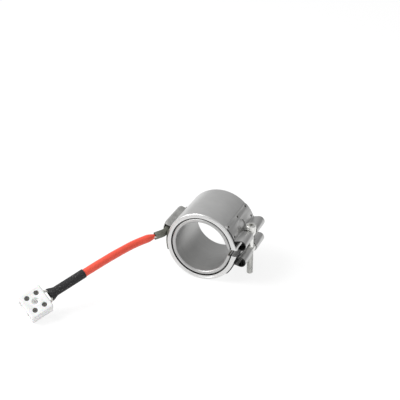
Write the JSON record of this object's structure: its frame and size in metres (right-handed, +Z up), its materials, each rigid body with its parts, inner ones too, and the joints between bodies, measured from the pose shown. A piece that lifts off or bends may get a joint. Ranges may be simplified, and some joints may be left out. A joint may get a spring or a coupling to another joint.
{
  "type": "band heater",
  "caption": "Round clamp-on band heater with rolled lugs, a clamp screw, a metal exit box and a short sleeved lead ending in a ceramic terminal block.",
  "frame": {"origin": "middle of the bore, on its axis", "axes": "+Y along the bore, from the end the lead leaves by towards the other end; +X from the axis to the middle of the clamp gap; +Z up as it lies"},
  "size_m": [0.1703, 0.1848, 0.0678],
  "materials": {
    "sheath_steel": "bright rolled sheet, satin inside the bore",
    "case_steel": "satin stainless sheet",
    "lug_steel": "satin stainless strip with spot welds",
    "zinc_steel": "bright zinc-plated steel",
    "box_steel": "grainy matt grey pressing",
    "ferrule_steel": "dull grey-green sheet",
    "mica": "pressed mica sheet",
    "mineral_fibre": "white mineral fibre blanket",
    "resistance_ribbon": "nickel-chromium ribbon",
    "red_sleeve": "smooth red silicone-coated glass sleeve",
    "black_sleeve": "black braided sleeve",
    "wire_cover": "white glass-braided wire",
    "ceramic": "white glazed ceramic",
    "brass": "brass",
    "terminal_steel": "zinc-plated steel"
  },
  "bodies": {
    "heater": {"inner_sheath": "sheath_steel", "mica_inner": "mica", "mica_former": "mica", "heating_ribbon": "resistance_ribbon", "mica_outer": "mica", "fibre_blanket": "mineral_fibre", "outer_case": "case_steel", "upper_lug_plate": "lug_steel", "lower_lug_plate": "lug_steel", "head_pin": "zinc_steel", "barrel_nut": "zinc_steel", "exit_box": "box_steel", "lead_saddle": "ferrule_steel", "lead_ferrule": "ferrule_steel", "element_tab_1": "resistance_ribbon", "element_tab_2": "resistance_ribbon", "inner_wire_1": "wire_cover", "inner_wire_2": "wire_cover", "terminal_body": "ceramic", "shrink_sleeve": "black_sleeve", "terminal_insert_1": "brass", "terminal_insert_2": "brass", "lead_wire_1": "wire_cover", "lead_wire_2": "wire_cover", "lead_sleeve": "red_sleeve"},
    "clamp_screw_body": {"clamp_screw": "zinc_steel"},
    "terminal_screw_1_body": {"terminal_screw_1": "terminal_steel"},
    "terminal_screw_2_body": {"terminal_screw_2": "terminal_steel"},
    "terminal_screw_3_body": {"terminal_screw_3": "terminal_steel"},
    "terminal_screw_4_body": {"terminal_screw_4": "terminal_steel"}
  },
  "joints": [
    {"name": "clamp_screw_turn", "type": "hinge", "parent": "heater", "child": "clamp_screw_body", "pos_m": [0.0388, 0, 0.0111], "axis": [0, 0, 1], "range_deg": [-2070, 810]},
    {"name": "terminal_screw_1_turn", "type": "hinge", "parent": "heater", "child": "terminal_screw_1_body", "pos_m": [-0.11035, -0.13921, -0.01017], "axis": [0.3461, -0.5158, 0.7836], "range_deg": [0, 1170]},
    {"name": "terminal_screw_2_turn", "type": "hinge", "parent": "heater", "child": "terminal_screw_2_body", "pos_m": [-0.11548, -0.14684, -0.01293], "axis": [0.3461, -0.5158, 0.7836], "range_deg": [-450, 810]},
    {"name": "terminal_screw_3_turn", "type": "hinge", "parent": "heater", "child": "terminal_screw_3_body", "pos_m": [-0.10032, -0.14336, -0.01733], "axis": [0.3461, -0.5158, 0.7836], "range_deg": [0, 1170]},
    {"name": "terminal_screw_4_turn", "type": "hinge", "parent": "heater", "child": "terminal_screw_4_body", "pos_m": [-0.10545, -0.15099, -0.02009], "axis": [0.3461, -0.5158, 0.7836], "range_deg": [-450, 810]}
  ]
}
